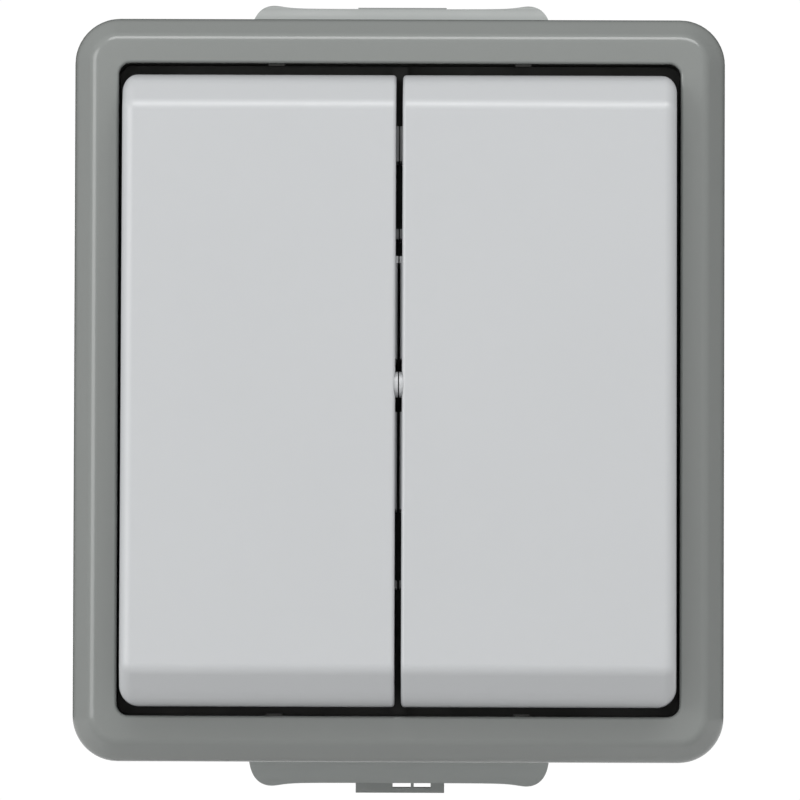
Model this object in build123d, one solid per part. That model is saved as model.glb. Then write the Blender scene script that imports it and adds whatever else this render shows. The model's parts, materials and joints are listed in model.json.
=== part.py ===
from build123d import *
import os
from math import sin, cos, tan, radians

os.makedirs("parts", exist_ok=True)

# Millimetres. X to the right, Z up, the front faces -Y. The origin is the centre of the
# mounting face, on the wall. "d" is the distance from the wall, so Y = -d.

# ---------------------------------------------------------------- surround frame
frame_w = 66.0
frame_h = 75.4
frame_corner_r = 4.6
frame_back_d = 35.0
frame_side_d = 44.0          # where the side starts to slope
frame_front_d = 47.0
frame_slope_deg = 33.0
frame_front_fillet = 1.15
frame_side_fillet = 3.0
opening_w = 56.84
opening_h = 66.0
opening_r = 1.2

# ---------------------------------------------------------------- housing
housing_w = 64.0
housing_h = 73.4
housing_corner_r = 3.6
housing_wall = 2.0
housing_d = 34.8
lip_top_d = 38.3
wall_hole_x = 15.0
wall_hole_z = 28.0
wall_hole_r = 2.2
tower_x = 24.5
tower_z = 28.5

# ---------------------------------------------------------------- cable entries
gland_half_w = 15.6
gland_lobe_z = 40.62
gland_mid_z = 40.3
gland_block_z = 41.75
gland_block_half_w = 4.7
cable_x = 7.4
cable_d = 13.6
cable_r = 3.5

# ---------------------------------------------------------------- rockers
pivot_d = 46.0
pivot_z = 0.45
rest_tilt = 2.5              # each side of the middle position
face_d = 52.5                # rocker face in the middle position
skirt_d = 44.0
rocker_in_x = 0.33
rocker_out_x = 28.14
rocker_top = 31.41           # above the pivot
rocker_bottom = 32.50        # below the pivot
side_draft = 1.6
bevel_deg = 47.0
bevel_len = 2.0
face_fillet = 1.75
nose_r = 5.5
outer_corner_r = 1.95
outer_edge_r = 1.3
inner_edge_r = 0.38
hub_d = 51.0                 # round hub beside the gap
hub_z = 0.15
trunnion_r = 1.5
bearing_r = 1.56

# ---------------------------------------------------------------- insert
insert_z = pivot_z
stem_x = 14.2
plunger_reach = 27.75        # rocker pivot to plunger tip
plunger_r = 1.6
plunger_bore_r = 1.75
lever_pivot_d = 16.3
lever_tilt = 5.0
tip_z = 8.0
terminal_z = 17.75
common_x = 4.6


# ---------------------------------------------------------------- helpers
def blk(x0, x1, d0, d1, z0, z1):
    return Pos((x0 + x1) / 2, -(d0 + d1) / 2, (z0 + z1) / 2) * Box(x1 - x0, d1 - d0, z1 - z0)


def slab(w, h, r, d0, d1, x=0.0, z=0.0, taper=0.0):
    sk = Plane.XZ.offset(d0).location * Pos(x, z, 0) * RectangleRounded(w, h, r)
    return extrude(sk, d1 - d0, taper=taper)


def rod_y(x, z, r, d0, d1):
    return Pos(x, -(d0 + d1) / 2, z) * Rot(90, 0, 0) * Cylinder(r, d1 - d0)


def rod_x(d, z, r, x0, x1):
    return Pos((x0 + x1) / 2, -d, z) * Rot(0, 90, 0) * Cylinder(r, x1 - x0)


def rod_z(x, d, r, z0, z1):
    return Pos(x, -d, (z0 + z1) / 2) * Cylinder(r, z1 - z0)


def screw(x, z, head_r, head_d0, head_d1, shank_r, tip_d):
    s = rod_y(x, z, head_r, head_d0, head_d1) + rod_y(x, z, shank_r, tip_d, head_d0)
    slot = 0.45 * (head_d1 - head_d0)
    s -= blk(x - head_r - 1, x + head_r + 1, head_d1 - slot, head_d1 + 1, z - 0.35, z + 0.35)
    return s


def turned(shape, d, z, deg):
    """Turned about the X line through (d, z)."""
    return Pos(0, -d, z) * Rot(deg, 0, 0) * Pos(0, d, -z) * shape


def flipped(shape):
    return mirror(shape, Plane.YZ)


def write(name, *solids):
    flat = []
    for s in solids:
        flat += list(s.solids())
    shape = flat[0] if len(flat) == 1 else Compound(children=flat)
    export_step(shape, "parts/" + name + ".step")


# ---------------------------------------------------------------- rear housing
housing = slab(housing_w, housing_h, housing_corner_r, 0, housing_d)
housing = chamfer(housing.faces().sort_by(Axis.Y)[-1].edges(), 0.4)
housing += slab(housing_w - 1.6, housing_h - 1.6, 2.8, housing_d, lip_top_d)
housing -= slab(housing_w - 2 * housing_wall, housing_h - 2 * housing_wall, 2.0,
                housing_wall, lip_top_d + 1)
for sx in (-1, 1):
    for sz in (-1, 1):
        housing += rod_y(sx * tower_x, sz * tower_z, 3.2, 1, 35.9)
        # web that ties the tower to the side wall
        housing += blk(min(sx * tower_x, sx * 30.5), max(sx * tower_x, sx * 30.5), 1, 33.0,
                       sz * tower_z - 0.8, sz * tower_z + 0.8)
        housing -= rod_y(sx * tower_x, sz * tower_z, 1.45, 24, 37)
        housing += rod_y(sx * wall_hole_x, sz * wall_hole_z, 4.2, 1, 3.0)
        housing -= rod_y(sx * wall_hole_x, sz * wall_hole_z, wall_hole_r, -1, 4)
for z in (insert_z + 26.5, insert_z - 26.5):
    housing += rod_y(0, z, 3.4, 1, 21.8)
    housing -= rod_y(0, z, 1.6, 12, 23)
for z0, z1 in ((10.4, 11.8), (-11.8, -10.4)):
    housing += blk(-30.5, -23.6, 1, 5.5, z0, z1)
window = Pos(0, -17.75, 0) * extrude(RectangleRounded(26.8, 27.5, 3.0), 4)
housing -= Pos(0, 0, 33.8) * window
housing -= Pos(0, 0, -37.8) * window
# round knock-outs in the side walls, each a thin ring groove
for sx in (-1, 1):
    a, b = sorted((sx * 31.65, sx * 33.0))
    housing -= rod_x(15.0, 0, 8.2, a, b) - rod_x(15.0, 0, 7.5, a - 1, b + 1)
    housing -= rod_x(15.0, 0, 5.0, a, b) - rod_x(15.0, 0, 4.4, a - 1, b + 1)
# groove round the back for a wall seal, and drain points low on the bottom wall
housing -= slab(56.0, 65.0, 3.0, -0.5, 0.6) - slab(53.6, 62.6, 2.0, -1, 1)
for sx in (-1, 1):
    housing -= rod_z(sx * 22.0, 6.0, 1.5, -38, -36.2)
write("rear_housing", housing)

# ---------------------------------------------------------------- cable glands
right_side = Spline([(gland_half_w, 36.75), (15.52, 38.2), (15.05, 39.65), (14.45, 40.27),
                     (13.4, gland_lobe_z), (12.2, 40.5), (10.6, 40.35), (8.0, 40.31), (5.6, gland_mid_z)],
                    tangents=[(-0.02, 1), (-1, 0)])
left_side = mirror(right_side, Plane.YZ)
edge = Curve() + [right_side, Line((5.6, gland_mid_z), (-5.6, gland_mid_z)), left_side,
                  Line((-gland_half_w, 36.75), (gland_half_w, 36.75))]
silhouette = extrude(Plane.XZ.offset(1.2).location * make_face(edge), 33.0)
# section in the Y-Z plane: nearly level behind the frame, flaring out to the lip
flare = Curve() + [
    Line((-34.2, 37.2), (-25.84, 37.88)),
    ThreePointArc((-25.84, 37.88), (-23.78, 38.63), (-22.75, 40.25)),
    ThreePointArc((-22.75, 40.25), (-22.58, 40.56), (-22.25, 40.7)),
    Line((-22.25, 40.7), (-21.8, 40.9)),
    Line((-21.8, 40.9), (-1.2, 40.9)),
    Line((-1.2, 40.9), (-1.2, 36.75)),
    Line((-1.2, 36.75), (-34.2, 36.75)),
    Line((-34.2, 36.75), (-34.2, 37.2)),
]
flare_solid = extrude(Plane.YZ.offset(-20).location * make_face(flare), 40)
gland = silhouette & flare_solid
gland += Pos(0, -17.75, 34.5) * extrude(RectangleRounded(26.4, 27.1, 2.8), 2.4)
gland += Pos(0, -17.75, 33.5) * extrude(RectangleRounded(28.2, 28.6, 3.2), 1.1)
# hollow behind the flare
gland -= blk(-11.4, 11.4, 5.8, 21.0, 33.0, 38.7)
gland -= blk(-11.4, 11.4, 20.9, 29.6, 33.0, 35.9)
# latch block with two release slots
gland += blk(-gland_block_half_w, gland_block_half_w, 1.4, 5.0, 39.6, gland_block_z)
for x0, x1 in ((-0.8, 1.15), (1.45, 3.25)):
    gland -= blk(x0, x1, 1.2, 6.0, 40.62, 41.2)
# two round cable holes with a stepped rim
for x in (-cable_x, cable_x):
    gland -= rod_z(x, cable_d, cable_r + 0.7, 39.8, 42.0)
    gland -= rod_z(x, cable_d, cable_r, 37.0, 42.0)
write("top_cable_gland", gland)
write("bottom_cable_gland", mirror(gland, Plane.XY))

# ---------------------------------------------------------------- surround frame
frame = slab(frame_w, frame_h, frame_corner_r, frame_back_d, frame_side_d)
frame += slab(frame_w, frame_h, frame_corner_r, frame_side_d, frame_front_d, taper=frame_slope_deg)
front_edges = frame.faces().sort_by(Axis.Y)[0].edges()
frame = fillet(front_edges, frame_front_fillet)
side_edges = frame.edges().filter_by(
    lambda e: abs(e.center().Y + frame_side_d) < 0.01 and e.bounding_box().size.Y < 0.01)
frame = fillet(side_edges, frame_side_fillet)
frame = fillet(frame.faces().sort_by(Axis.Y)[-1].edges(), 0.35)
# slot in the lower edge for prying the cover off
frame -= blk(5.7, 8.7, frame_back_d - 1, 36.3, -38.5, -36.9)
frame -= slab(62.8, 72.2, 3.0, frame_back_d - 1, 45.2)
frame -= slab(59.0, 68.2, 1.6, 45.0, 46.0)
frame -= slab(opening_w, opening_h, opening_r, 45.5, frame_front_d + 1)
inner_edges = frame.edges().filter_by(
    lambda e: abs(e.center().Y + frame_front_d) < 0.01
    and abs(e.center().X) < opening_w / 2 + 0.05 and abs(e.center().Z) < opening_h / 2 + 0.05)
frame = fillet(inner_edges, 0.3)
write("front_frame", frame)

# ---------------------------------------------------------------- bearing frame
plate_d0, plate_d1 = 39.8, 41.3
carrier = slab(62.2, 71.6, 2.8, plate_d0, plate_d1)
carrier += (slab(58.8, 68.0, 1.5, plate_d1 - 0.5, 45.95)
            - slab(opening_w + 0.06, opening_h + 0.06, 1.25, plate_d1 - 0.6, 46.5))
for sx in (-1, 1):
    for x0, x1 in ((4.0, 5.8), (22.6, 24.2)):
        a, b = sorted((sx * x0, sx * x1))
        post = blk(a, b, plate_d1 - 0.5, pivot_d, pivot_z - 3.0, pivot_z + 3.0)
        post += rod_x(pivot_d, pivot_z, 3.0, a, b) & blk(a, b, 40, 48.2, pivot_z - 4, pivot_z + 4)
        post -= rod_x(pivot_d, pivot_z, bearing_r, a - 1, b + 1)
        carrier += post
    carrier -= blk(sx * stem_x - 4.0, sx * stem_x + 4.0, 39, 42, pivot_z - 4.2, pivot_z + 4.2)
    for sz in (-1, 1):
        x, z = sx * tower_x, sz * tower_z
        carrier += rod_y(x, z, 3.0, 36.2, plate_d0 + 0.5)
        carrier -= rod_y(x, z, 1.7, 36, 42)
        carrier -= rod_y(x, z, 2.8, 39.7, 42)
        z0, z1 = sorted((sz * 32.78, sz * 33.4))
        carrier += blk(sx * 12.5 - 0.8, sx * 12.5 + 0.8, 44.6, 45.9, z0, z1)
# low spine under the gap between the rockers
carrier += blk(-0.8, 0.8, plate_d1 - 0.5, 42.1, -32.9, 32.9)
write("bearing_frame", carrier)

# ---------------------------------------------------------------- membrane and gasket
membrane = slab(56.0, 65.0, 2.0, 38.8, plate_d0)
for sx in (-1, 1):
    membrane += blk(sx * stem_x - 4.6, sx * stem_x + 4.6, 37.4, 39.0, pivot_z - 4.7, pivot_z + 4.7)
    membrane -= blk(sx * stem_x - 3.3, sx * stem_x + 3.3, 37, 40, pivot_z - 3.5, pivot_z + 3.5)
    for sz in (-1, 1):
        membrane -= rod_y(sx * tower_x, sz * tower_z, 3.2, 36, 41)
write("splash_membrane", membrane)
seal = slab(62.0, 71.4, 2.6, lip_top_d, plate_d0) - slab(60.4, 69.8, 2.2, lip_top_d - 1, plate_d0 + 1)
write("housing_seal", seal)
write("cover_screws", *[screw(sx * tower_x, sz * tower_z, 2.6, 39.7, 41.1, 1.4, 26)
                        for sx in (-1, 1) for sz in (-1, 1)])

# ---------------------------------------------------------------- insert
terminals = [(sx * stem_x, sz) for sx in (-1, 1) for sz in (-1, 1)] + [(sx * common_x, -1) for sx in (-1, 1)]
terminals = [(x, insert_z + sz * (terminal_z + 0.45)) for x, sz in terminals]
body = slab(44.0, 45.0, 2.0, 11.0, 25.0, z=insert_z)
for sz in (-1, 1):
    z0, z1 = sorted((insert_z + sz * 22.0, insert_z + sz * 30.0))
    body += blk(-5, 5, 21.8, 24.4, z0, z1)
    body -= rod_y(0, insert_z + sz * 26.5, 1.75, 21, 25)
for sx in (-1, 1):
    body -= blk(sx * stem_x - 3.6, sx * stem_x + 3.6, 14, 26, insert_z - 12.5, insert_z + 12.5)
    body -= blk(sx * common_x - 2.4, sx * common_x + 2.4, 14, 26, insert_z - 21.5, insert_z + 2.6)
    a, b = sorted((sx * 6.0, sx * 11.0))
    body -= blk(a, b, 14, 15.4, insert_z - 2.2, insert_z + 2.2)
    for sz in (-1, 1):
        z0, z1 = sorted((insert_z + sz * 12.0, insert_z + sz * 16.0))
        body -= blk(sx * stem_x - 2.2, sx * stem_x + 2.2, 14, 15.4, z0, z1)
for x, z in terminals:
    body -= blk(x - 3.3, x + 3.3, 14, 26, z - 3.3, z + 3.3)
    body -= rod_y(x, z, 1.6, 12.2, 15)
    end = 24.0 if z > insert_z else -24.0
    z0, z1 = sorted((z, insert_z + end))
    body -= rod_z(x, 15.95, 1.1, z0, z1)
for sx in (-1, 1):
    body -= rod_y(sx * 19.95, insert_z, 1.15, 10, 26)
write("insert_body", body)

lid = slab(44.0, 45.0, 2.0, 25.0, 27.2, z=insert_z)
for sx in (-1, 1):
    lid -= blk(sx * stem_x - 3.3, sx * stem_x + 3.3, 24, 28, insert_z - 4.2, insert_z + 4.2)
    lid -= rod_y(sx * 19.95, insert_z, 1.15, 24, 28)
for x, z in terminals:
    lid -= rod_y(x, z, 2.7, 24, 28)
write("insert_cover", lid)
write("insert_rivets", *[rod_y(sx * 19.95, insert_z, 1.1, 10.2, 28.0)
                         + rod_y(sx * 19.95, insert_z, 1.8, 10.2, 11.0)
                         + rod_y(sx * 19.95, insert_z, 1.8, 27.2, 28.0) for sx in (-1, 1)])
write("insert_screws", *[screw(0, insert_z + s * 26.5, 2.9, 24.4, 26.2, 1.55, 14) for s in (-1, 1)])

# ---------------------------------------------------------------- contacts
tips = []
for side, sx in (("left", -1), ("right", 1)):
    cx = sx * stem_x
    for level, sz in (("upper", 1), ("lower", -1)):
        z0, z1 = sorted((insert_z + sz * 6.4, insert_z + sz * 20.9))
        strip = blk(cx - 1.9, cx + 1.9, 14.0, 14.8, z0, z1)
        strip -= rod_y(cx, insert_z + sz * (terminal_z + 0.45), 1.32, 13, 16)
        write(side + "_" + level + "_contact", strip)
        tips.append(rod_y(cx, insert_z + sz * tip_z, 1.4, 14.8, 15.6))
    a, b = sorted((sx * (common_x - 1.9), cx + sx * 1.9))
    common = blk(a, b, 14.0, 14.8, insert_z - 1.9, insert_z + 1.9)
    common += blk(sx * common_x - 1.9, sx * common_x + 1.9, 14.0, 14.8, insert_z - 20.9, insert_z)
    common -= rod_y(sx * common_x, insert_z - (terminal_z + 0.45), 1.32, 13, 16)
    common += blk(cx - 1.8, cx + 1.8, 14.5, lever_pivot_d, insert_z - 0.5, insert_z + 0.5)
    common += rod_x(lever_pivot_d, insert_z, 0.5, cx - 1.8, cx + 1.8)
    write(side + "_common_contact", common)

    lever = blk(cx - 2.2, cx + 2.2, 17.2, 18.0, insert_z - 9.6, insert_z + 9.6)
    lever += blk(cx - 2.2, cx + 2.2, 16.0, 17.3, insert_z - 1.3, insert_z + 1.3)
    lever -= rod_x(lever_pivot_d, insert_z, 0.56, cx - 3, cx + 3)
    lever -= blk(cx - 3, cx + 3, 15.5, lever_pivot_d, insert_z - 0.62, insert_z + 0.62)
    write(side + "_contact_lever", turned(lever, lever_pivot_d, insert_z, lever_tilt))
    write(side + "_lever_tips", *[turned(rod_y(cx, insert_z + s * tip_z, 1.4, 16.5, 17.2),
                                         lever_pivot_d, insert_z, lever_tilt) for s in (-1, 1)])
write("fixed_contact_tips", *tips)
write("terminal_clamps", *[blk(x - 2.9, x + 2.9, 17.0, 18.0, z - 2.6, z + 2.6)
                           - rod_y(x, z, 1.45, 16, 19) for x, z in terminals])
write("terminal_screws", *[screw(x, z, 2.4, 18.0, 20.0, 1.3, 12.8) for x, z in terminals])

# ---------------------------------------------------------------- earth terminal
bar = blk(-29.6, -24.4, 2.0, 9.2, -10.2, 10.2) - rod_z(-27.0, 5.0, 1.7, -11, 11)
for z in (-6, 6):
    bar -= rod_y(-27.0, z, 1.42, 5.0, 10)
write("earth_terminal_bar", bar)
write("earth_terminal_screws", *[screw(-27.0, z, 2.2, 9.4, 11.0, 1.4, 6.9) for z in (-6, 6)])


# ---------------------------------------------------------------- rockers
def rocker_profile():
    """End view of the rocker in the Y-Z plane, middle position."""
    b = radians(bevel_deg)
    top = pivot_z + rocker_top
    bot = pivot_z - rocker_bottom
    pts = []
    for tip, s in ((top, 1), (bot, -1)):
        z_face = tip - s * (face_fillet * sin(b) + bevel_len * cos(b) + nose_r * (1 - sin(b)))
        p0 = (-face_d, z_face)
        p1 = (-face_d + face_fillet * (1 - cos(b)), z_face + s * face_fillet * sin(b))
        m1 = (-face_d + face_fillet * (1 - cos(b / 2)), z_face + s * face_fillet * sin(b / 2))
        p2 = (p1[0] + bevel_len * sin(b), p1[1] + s * bevel_len * cos(b))
        c = (p2[0] + nose_r * cos(b), p2[1] - s * nose_r * sin(b))
        h = (b + radians(90)) / 2
        m2 = (c[0] - nose_r * cos(h), c[1] + s * nose_r * sin(h))
        p3 = (c[0], tip)
        pts.append((p0, m1, p1, p2, m2, p3, (-skirt_d, tip)))
    t, u = pts
    return Curve() + [
        Line(u[0], t[0]), ThreePointArc(t[0], t[1], t[2]), Line(t[2], t[3]),
        ThreePointArc(t[3], t[4], t[5]), Line(t[5], t[6]), Line(t[6], u[6]), Line(u[6], u[5]),
        ThreePointArc(u[5], u[4], u[3]), Line(u[3], u[2]), ThreePointArc(u[2], u[1], u[0]),
    ]


def rocker_outline(d, out_x):
    """Plan view with the outer corners rounded; left long on the inner side."""
    top = pivot_z + rocker_top
    bot = pivot_z - rocker_bottom
    sk = Plane.XZ.offset(d).location * Pos((out_x - 1) / 2, (top + bot) / 2, 0) * Rectangle(out_x + 1, top - bot)
    sk = fillet(sk.vertices().filter_by(lambda v: v.X > 5), outer_corner_r)
    return sk.faces()[0]


def make_rocker():
    # bar with the end profile, its outer end leaning in by the draft
    d_hi = 56.0
    shrink = (d_hi - skirt_d) * tan(radians(side_draft))
    bar = extrude(Plane.YZ.offset(rocker_in_x).location * make_face(rocker_profile()), 29.0)
    lean = Curve() + [Polyline((rocker_out_x, -skirt_d), (rocker_out_x - shrink, -d_hi), (36, -d_hi),
                               (36, -40), (rocker_out_x + 4 * tan(radians(side_draft)), -40),
                               (rocker_out_x, -skirt_d))]
    bar -= Pos(0, 0, -45) * extrude(make_face(lean), 90)
    # soft edges all round both ends of the bar
    for r, outer in ((outer_edge_r, True), (inner_edge_r, False)):
        chain = []
        for e in bar.edges():
            size = e.bounding_box().size
            if size.X < 1 and not (size.Y < 0.001 and abs(e.center().Y + skirt_d) < 0.001) \
                    and (e.center().X > 14) == outer:
                chain.append(e)
        bar = fillet(chain, r)
    gap = 0.006
    plan = loft([rocker_outline(skirt_d - 1, rocker_out_x + tan(radians(side_draft)) - gap),
                 rocker_outline(d_hi, rocker_out_x - shrink - gap)], ruled=True)
    shell = plan & bar
    top = pivot_z + rocker_top
    bot = pivot_z - rocker_bottom
    hollow = Curve() + [Polyline((-43.0, top - 1.6), (-47.6, top - 1.6), (-50.7, top - 5.0),
                                 (-50.7, bot + 5.0), (-47.6, bot + 1.6), (-43.0, bot + 1.6),
                                 (-43.0, top - 1.6))]
    shell -= extrude(Plane.YZ.offset(1.81).location * make_face(hollow), 26.2 - 1.81)
    # bearing lugs with their trunnions
    for x0, x1 in ((1.7, 3.6), (24.6, 26.4)):
        lug = blk(x0, x1, pivot_d, 50.9, pivot_z - 2.4, pivot_z + 2.4)
        lug += rod_x(pivot_d, pivot_z, 2.0, x0, x1)
        shell += lug
    shell += rod_x(pivot_d, pivot_z, trunnion_r, 3.4, 6.1)
    shell += rod_x(pivot_d, pivot_z, trunnion_r, 22.3, 24.8)
    # collar that holds the stem
    shell += (blk(stem_x - 4.8, stem_x + 4.8, 48.2, 50.9, pivot_z - 4.8, pivot_z + 4.8)
              - blk(stem_x - 3.55, stem_x + 3.55, 47.0, 50.7, pivot_z - 3.55, pivot_z + 3.55))
    # sloping cheeks beside the gap
    wedge = Curve() + [Polyline((0.6, -51.6), (0.41, -52.31), (0.15, -51.5), (0.15, -45.0),
                                (0.6, -45.0), (0.6, -51.6))]
    for z0, z1 in ((2.74, 12.4), (-12.4, -2.63)):
        shell += Pos(0, 0, z0) * extrude(make_face(wedge), z1 - z0)
    # round hub beside the gap, level with the face, standing in a shallow scoop
    scoop_r = (1.35 ** 2 + 0.19 ** 2) / (2 * 0.19)
    shell -= rod_y(rocker_in_x + 0.19 - scoop_r, hub_z, scoop_r, 43.0, 53.0)
    shell += rod_x(hub_d, hub_z, 1.3, 0.06, 0.75)
    # small webs lower in the gap
    for z0, z1, d0, d1, x in ((22.95, 26.5, 44.2, 48.7, 0.07), (15.1, 16.1, 44.2, 48.4, 0.07),
                              (12.4, 13.1, 44.6, 51.3, 0.07), (-20.2, -19.4, 44.2, 48.0, 0.14)):
        shell += blk(x, 0.6, d0, d1, z0, z1)
    return shell


def make_stem():
    stem = blk(stem_x - 3.5, stem_x + 3.5, 46.5, 50.7, pivot_z - 3.5, pivot_z + 3.5)
    stem += blk(stem_x - 2.8, stem_x + 2.8, 26.0, 47.0, pivot_z - 2.7, pivot_z + 2.7)
    stem -= rod_y(stem_x, pivot_z, plunger_bore_r, 25.0, 34.6)
    return stem


def make_plunger():
    tip_d = pivot_d - plunger_reach
    pin = rod_y(stem_x, pivot_z, plunger_r, tip_d + plunger_r, 28.0)
    pin += Pos(stem_x, -(tip_d + plunger_r), pivot_z) * Sphere(plunger_r)
    pin += rod_y(stem_x, pivot_z, 0.85, 27.5, 30.0)
    return pin


def make_spring():
    path = Helix(pitch=0.8, height=6.0, radius=1.25)
    wire = sweep(Plane(origin=path @ 0, z_dir=path % 0) * Circle(0.2), path=path, is_frenet=True)
    return Pos(stem_x, -28.25, pivot_z) * Rot(90, 0, 0) * wire


rocker = make_rocker()
for name, piece in (("rocker_cap", rocker), ("actuator_stem", make_stem()),
                    ("plunger", make_plunger()), ("plunger_spring", make_spring())):
    at_rest = turned(piece, pivot_d, pivot_z, -rest_tilt)
    write("right_" + name, at_rest)
    write("left_" + name, flipped(at_rest))
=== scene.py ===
import json
import math

import bpy
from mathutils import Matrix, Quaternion, Vector


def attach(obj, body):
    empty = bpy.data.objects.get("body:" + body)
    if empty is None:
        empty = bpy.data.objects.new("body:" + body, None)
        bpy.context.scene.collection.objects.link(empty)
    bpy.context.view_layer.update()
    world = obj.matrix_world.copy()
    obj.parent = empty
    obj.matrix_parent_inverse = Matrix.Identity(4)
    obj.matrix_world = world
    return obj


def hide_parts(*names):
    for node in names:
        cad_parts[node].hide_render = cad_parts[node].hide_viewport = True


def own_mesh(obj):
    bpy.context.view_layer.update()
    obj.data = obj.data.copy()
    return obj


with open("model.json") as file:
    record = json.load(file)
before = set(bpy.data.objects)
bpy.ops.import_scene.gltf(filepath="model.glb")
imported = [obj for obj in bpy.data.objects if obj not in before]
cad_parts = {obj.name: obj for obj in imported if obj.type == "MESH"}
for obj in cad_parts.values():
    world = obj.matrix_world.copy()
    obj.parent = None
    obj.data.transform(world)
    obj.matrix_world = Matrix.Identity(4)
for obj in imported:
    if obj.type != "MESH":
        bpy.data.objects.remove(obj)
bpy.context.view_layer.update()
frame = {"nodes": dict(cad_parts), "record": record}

nodes = frame["nodes"]
scene = bpy.context.scene
scene.view_settings.view_transform = "Standard"
scene.view_settings.look = "None"

MM = 0.001
TENT = {"base": 0.83, "x": -0.16, "y": -0.43, "z": -0.21}
KEY, SIDE = 5.3, 3.5


# ------------------------------------------------------------------ materials
def linear(c):
    c = c / 255.0
    return c / 12.92 if c <= 0.04045 else ((c + 0.055) / 1.055) ** 2.4


def rgb(r, g, b, k=1.0):
    return (linear(r) * k, linear(g) * k, linear(b) * k, 1.0)


class Mat:
    """A node material: small helpers so that every finish below stays readable."""

    def __init__(self, name):
        self.m = bpy.data.materials.new(name)
        self.m.use_nodes = True
        self.t = self.m.node_tree
        self.n = self.t.nodes
        self.l = self.t.links
        self.b = self.n["Principled BSDF"]
        self.pos = self.n.new("ShaderNodeTexCoord").outputs["Object"]

    def set(self, **k):
        for name, v in k.items():
            self.b.inputs[name.replace("_", " ")].default_value = v
        return self

    def scaled(self, sx, sy, sz):
        m = self.n.new("ShaderNodeMapping")
        m.inputs["Scale"].default_value = (sx, sy, sz)
        self.l.new(self.pos, m.inputs["Vector"])
        return m.outputs["Vector"]

    def noise(self, scale, detail=3.0, rough=0.55, vec=None):
        t = self.n.new("ShaderNodeTexNoise")
        t.inputs["Scale"].default_value = scale
        t.inputs["Detail"].default_value = detail
        t.inputs["Roughness"].default_value = rough
        self.l.new(vec or self.pos, t.inputs["Vector"])
        return t.outputs["Fac"]

    def cells(self, scale, vec=None):
        t = self.n.new("ShaderNodeTexVoronoi")
        t.inputs["Scale"].default_value = scale
        self.l.new(vec or self.pos, t.inputs["Vector"])
        return t.outputs["Distance"]

    def ramp(self, fac, stops):
        r = self.n.new("ShaderNodeValToRGB")
        e = r.color_ramp.elements
        e[0].position, e[0].color = stops[0]
        e[1].position, e[1].color = stops[-1]
        for p, c in stops[1:-1]:
            x = e.new(p)
            x.color = c
        self.l.new(fac, r.inputs["Fac"])
        return r.outputs["Color"]

    def span(self, fac, lo, hi, out_lo, out_hi):
        r = self.n.new("ShaderNodeMapRange")
        for k, v in (("From Min", lo), ("From Max", hi), ("To Min", out_lo), ("To Max", out_hi)):
            r.inputs[k].default_value = v
        self.l.new(fac, r.inputs["Value"])
        return r.outputs["Result"]

    def color(self, socket):
        self.l.new(socket, self.b.inputs["Base Color"])
        return self

    def rough(self, socket):
        self.l.new(socket, self.b.inputs["Roughness"])
        return self

    def bump(self, height, strength, distance):
        bm = self.n.new("ShaderNodeBump")
        bm.inputs["Strength"].default_value = strength
        bm.inputs["Distance"].default_value = distance
        self.l.new(height, bm.inputs["Height"])
        prev = self.b.inputs["Normal"].links
        if prev:
            self.l.new(prev[0].from_socket, bm.inputs["Normal"])
        self.l.new(bm.outputs["Normal"], self.b.inputs["Normal"])
        return self


def plastic(name, c, spread, rough_lo, rough_hi, grain, grain_depth, flow=0.0):
    """Moulded thermoplastic: faint clouding, a fine spark-eroded grain and slightly uneven gloss."""
    m = Mat(name)
    lo = [max(0, v * (1 - spread)) for v in c[:3]] + [1]
    hi = [min(1, v * (1 + spread)) for v in c[:3]] + [1]
    cloud = m.noise(38, 4, 0.5)
    m.color(m.ramp(cloud, [(0.32, lo), (0.5, c), (0.68, hi)]))
    m.rough(m.span(m.noise(210, 3), 0.3, 0.7, rough_lo, rough_hi))
    m.bump(m.noise(grain, 2, 0.6), 0.35, grain_depth)
    if flow:
        m.bump(m.noise(16, 1, 0.4), 0.5, flow)
    return m


FRAME = plastic("frame_grey_satin", rgb(138.5, 142, 139.5, 0.565), 0.012, 0.16, 0.20, 5200, 0.000004)
FRAME.set(IOR=1.49)
HOUSING = plastic("housing_grey_grained", rgb(133, 137, 134), 0.02, 0.46, 0.56, 2600, 0.000022)
GLAND = plastic("gland_grey_satin", rgb(150, 154, 152, 0.66), 0.015, 0.38, 0.46, 4200, 0.000006)
ROCKER = plastic("rocker_light_grey", rgb(201, 203, 205, 0.570), 0.006, 0.31, 0.36, 6000, 0.000003, 0.00001)
ROCKER.set(IOR=1.50)
CARRIER = plastic("carrier_black", rgb(29, 30, 27), 0.10, 0.50, 0.62, 3000, 0.000012)
STEM = plastic("stem_white_acetal", rgb(225, 225, 219), 0.01, 0.34, 0.42, 3600, 0.000006)


def rubber():
    m = Mat("black_rubber")
    m.color(m.ramp(m.noise(60, 5), [(0.3, rgb(20, 20, 20)), (0.7, rgb(33, 33, 32))]))
    m.rough(m.span(m.noise(300, 3), 0.3, 0.7, 0.72, 0.86))
    return m.bump(m.noise(1800, 4, 0.7), 0.5, 0.00003)


def thermoset():
    """Filled thermoset: cream, with fine darker specks."""
    m = Mat("insert_cream_thermoset")
    m.color(m.ramp(m.cells(1500), [(0.0, rgb(186, 176, 156)), (0.16, rgb(214, 206, 188)),
                                   (1.0, rgb(222, 215, 199))]))
    m.rough(m.span(m.noise(420, 3), 0.3, 0.7, 0.42, 0.55))
    return m.bump(m.noise(2400, 3, 0.6), 0.4, 0.000015)


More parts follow.
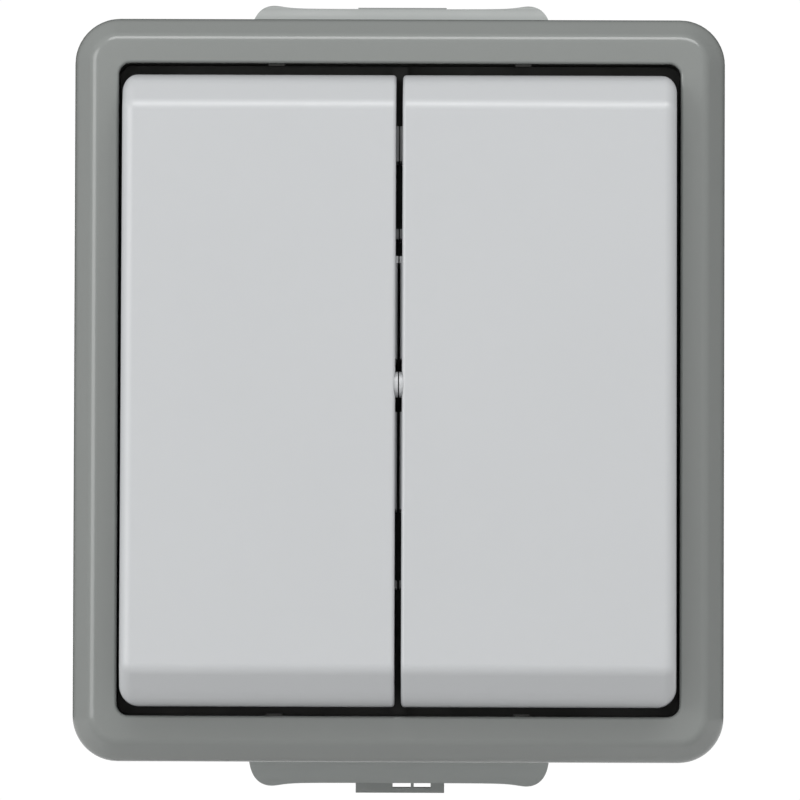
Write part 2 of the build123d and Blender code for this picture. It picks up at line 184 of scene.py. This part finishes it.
def metal(name, c_lo, c_hi, r_lo, r_hi, stretch, grain=0.00001):
    """Rolled, drawn or turned metal: colour and gloss run along the grain."""
    m = Mat(name)
    m.set(Metallic=1.0)
    along = m.scaled(*stretch)
    f = m.noise(900, 5, 0.65, along)
    m.color(m.ramp(f, [(0.3, c_lo), (0.7, c_hi)]))
    m.rough(m.span(m.noise(500, 3, 0.6, along), 0.3, 0.7, r_lo, r_hi))
    return m.bump(f, 0.4, grain)


BRASS = metal("contact_brass", rgb(190, 150, 74), rgb(216, 180, 104), 0.24, 0.38, (1, 1, 0.08))
SILVER = metal("contact_silver", rgb(206, 205, 200), rgb(232, 231, 227), 0.20, 0.34, (1, 1, 1))
ZINC = metal("zinc_plated_steel", rgb(168, 171, 176), rgb(198, 201, 205), 0.26, 0.42, (1, 0.15, 1))
SPRING = metal("drawn_spring_wire", rgb(132, 134, 137), rgb(165, 167, 170), 0.22, 0.36, (1, 0.3, 1))
RUBBER = rubber()
CREAM = thermoset()

SLOT = {"housing_grey": HOUSING, "frame_grey": FRAME, "gland_grey": GLAND, "carrier_black": CARRIER,
        "black_rubber": RUBBER, "rocker_light_grey": ROCKER, "stem_white": STEM, "insert_cream": CREAM,
        "zinc_steel": ZINC, "contact_brass": BRASS, "contact_silver": SILVER, "spring_steel": SPRING}
for sub in frame["record"]["subparts"]:
    o = nodes[sub["node"]]
    o.data.materials.clear()
    o.data.materials.append(SLOT[sub["material_slot"]].m)

# ------------------------------------------------------------------ copies of the springs, carried with their rockers
coils = {}
for side in ("left", "right"):
    node = nodes[side + "_plunger_spring"]
    coil = node.copy()
    coil.data = node.data.copy()
    coil.name = side + "_spring_coil"
    scene.collection.objects.link(coil)
    coils[side] = coil

# ------------------------------------------------------------------ shading of the pieces
for name, o in list(nodes.items()) + list(coils.items()):
    for p in o.data.polygons:
        p.use_smooth = True
    w = o.modifiers.new("weld", "WELD")
    w.merge_threshold = 0.000002
    e = o.modifiers.new("hard edges", "EDGE_SPLIT")
    e.split_angle = math.radians(28)
    n = o.modifiers.new("face weighted", "WEIGHTED_NORMAL")
    n.mode = "FACE_AREA"
    n.weight = 50

# the plunger's shoulder meets the coil 6.3 mm from the coil's fixed end and moves 0.5 mm
for side, x in (("left", -0.0142), ("right", 0.0142)):
    coil = coils[side]
    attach(coil, side + "_rocker")
    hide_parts(side + "_plunger_spring")
    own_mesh(coil)

# ------------------------------------------------------------------ floor, light, camera
floor_mesh = bpy.data.meshes.new("floor")
ring = [(1.1 * math.cos(a), 1.1 * math.sin(a), -0.075) for a in (math.tau * i / 96 for i in range(96))]
floor_mesh.from_pydata(ring, [], [list(range(96))])
floor = bpy.data.objects.new("floor", floor_mesh)
scene.collection.objects.link(floor)
FLOOR = Mat("pale_floor")
FLOOR.color(FLOOR.ramp(FLOOR.noise(6, 3), [(0.3, (0.80, 0.80, 0.80, 1)), (0.7, (0.84, 0.84, 0.84, 1))]))
FLOOR.set(Roughness=0.85)
floor_mesh.materials.append(FLOOR.m)

world = bpy.data.worlds.new("studio")
scene.world = world
world.use_nodes = True
wt = world.node_tree
bg = wt.nodes["Background"]
geo = wt.nodes.new("ShaderNodeTexCoord")
sep = wt.nodes.new("ShaderNodeSeparateXYZ")
wt.links.new(geo.outputs["Generated"], sep.inputs[0])


def wmath(op, a, b=None, clamp=False):
    n = wt.nodes.new("ShaderNodeMath")
    n.operation = op
    n.use_clamp = clamp
    for i, v in enumerate((a, b)):
        if v is None:
            continue
        if isinstance(v, (int, float)):
            n.inputs[i].default_value = v
        else:
            wt.links.new(v, n.inputs[i])
    return n.outputs[0]


# a soft tent, brightest in front and below; seen directly, the backdrop is plain white
tent = TENT["base"]
for axis, k in (("X", TENT["x"]), ("Y", TENT["y"]), ("Z", TENT["z"])):
    tent = wmath("ADD", wmath("MULTIPLY", sep.outputs[axis], k), tent)
# the room behind the wall plane is dark, so edges that turn away go darker
behind = wmath("SUBTRACT", 1.7, wmath("MULTIPLY", sep.outputs["Y"], 1.9), clamp=True)
tent = wmath("MULTIPLY", wmath("MAXIMUM", tent, 0.03), behind)
seen = wt.nodes.new("ShaderNodeLightPath").outputs["Is Camera Ray"]
mix = wmath("ADD", wmath("MULTIPLY", seen, 1.02), wmath("MULTIPLY", tent, wmath("SUBTRACT", 1.0, seen)))
cc = wt.nodes.new("ShaderNodeCombineXYZ")
for i in range(3):
    wt.links.new(mix, cc.inputs[i])
wt.links.new(cc.outputs[0], bg.inputs["Color"])
bg.inputs["Strength"].default_value = 1.0


def softbox(name, where, target, w, h, power, color=(1, 1, 1)):
    d = bpy.data.lights.new(name, "AREA")
    d.shape = "RECTANGLE"
    d.size, d.size_y = w, h
    d.energy = power
    d.color = color
    o = bpy.data.objects.new(name, d)
    scene.collection.objects.link(o)
    o.location = where
    o.rotation_euler = (Vector(target) - Vector(where)).to_track_quat("-Z", "Y").to_euler()
    return o


def radiant(radiance, w, h):
    """Power of a rectangular light that shows the given brightness."""
    return radiance * math.pi * w * h


aim = (0, -0.045, 0)
softbox("key_above", (0.14, -0.66, 0.84), aim, 1.15, 0.46, radiant(KEY, 1.15, 0.46))
softbox("bank_left", (-0.74, -0.63, -0.02), aim, 0.62, 0.95, radiant(SIDE, 0.62, 0.95))

# The camera stands a little below and to the right of the middle of the switch.
DIST = 0.800
BELOW = math.radians(1.5)
RIGHT = math.radians(0.35)
ROLL = math.radians(0.19)
centre = Vector((0.0, -0.0445, 0.0))
cam_data = bpy.data.cameras.new("camera")
cam = bpy.data.objects.new("camera", cam_data)
scene.collection.objects.link(cam)
away = Vector((math.sin(RIGHT) * math.cos(BELOW), -math.cos(RIGHT) * math.cos(BELOW), -math.sin(BELOW)))
cam.location = centre + away * DIST
cam.rotation_mode = "QUATERNION"
cam.rotation_quaternion = (-away).to_track_quat("-Z", "Y") @ Quaternion((0, 0, 1), ROLL)
cam_data.sensor_width = 36.0
cam_data.lens = 36.0 * DIST / (800 * 0.10134 * MM)
cam_data.shift_x = (400 - 398.95) / 800
cam_data.shift_y = -(400 - 390.1) / 800
cam_data.clip_start, cam_data.clip_end = 0.05, 20.0
scene.camera = cam
